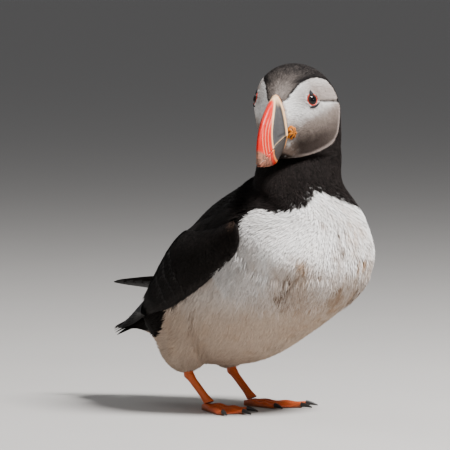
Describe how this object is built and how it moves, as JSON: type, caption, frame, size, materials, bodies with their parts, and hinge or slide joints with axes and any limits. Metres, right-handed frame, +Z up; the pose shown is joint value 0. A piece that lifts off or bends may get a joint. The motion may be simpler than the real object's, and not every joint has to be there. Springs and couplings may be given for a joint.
{
  "type": "atlantic puffin",
  "caption": "Life-size still Atlantic puffin standing with its head turned to its right, in breeding plumage, resting on its webbed feet.",
  "frame": {"origin": "on the floor under the middle of the bounding box", "axes": "+Z up, the body faces -Y, the bird's left side is +X, the head is turned to its right, towards -X"},
  "size_m": [0.1072, 0.1924, 0.2085],
  "materials": {
    "plumage_white": "soft matte white feathers with brown soiling on the breast",
    "plumage_black": "brown-black feathers with a faint silky sheen",
    "plumage_face": "short velvety grey-white face feathers under a black crown",
    "bill_horn": "layered horn: slate plate, cream ridges and red-orange outer part with pale grooves",
    "eye": "wet dark brown eye",
    "rosette_skin": "creased yellow-orange skin",
    "leg_skin": "scaled orange-red skin",
    "claw_horn": "dark horn"
  },
  "bodies": {
    "root": {"head": "plumage_face", "neck": "plumage_black", "trunk": "plumage_white", "tail": "plumage_black", "bill_upper": "bill_horn", "bill_lower": "bill_horn", "eye_left": "eye", "rosette_left": "rosette_skin", "wing_left": "plumage_black", "primaries_left": "plumage_black", "thigh_left": "plumage_white", "tarsus_left": "leg_skin", "foot_left": "leg_skin", "claw_left_inner": "claw_horn", "claw_left_middle": "claw_horn", "claw_left_outer": "claw_horn", "eye_right": "eye", "rosette_right": "rosette_skin", "wing_right": "plumage_black", "primaries_right": "plumage_black", "thigh_right": "plumage_white", "tarsus_right": "leg_skin", "foot_right": "leg_skin", "claw_right_inner": "claw_horn", "claw_right_middle": "claw_horn", "claw_right_outer": "claw_horn"}
  },
  "joints": []
}
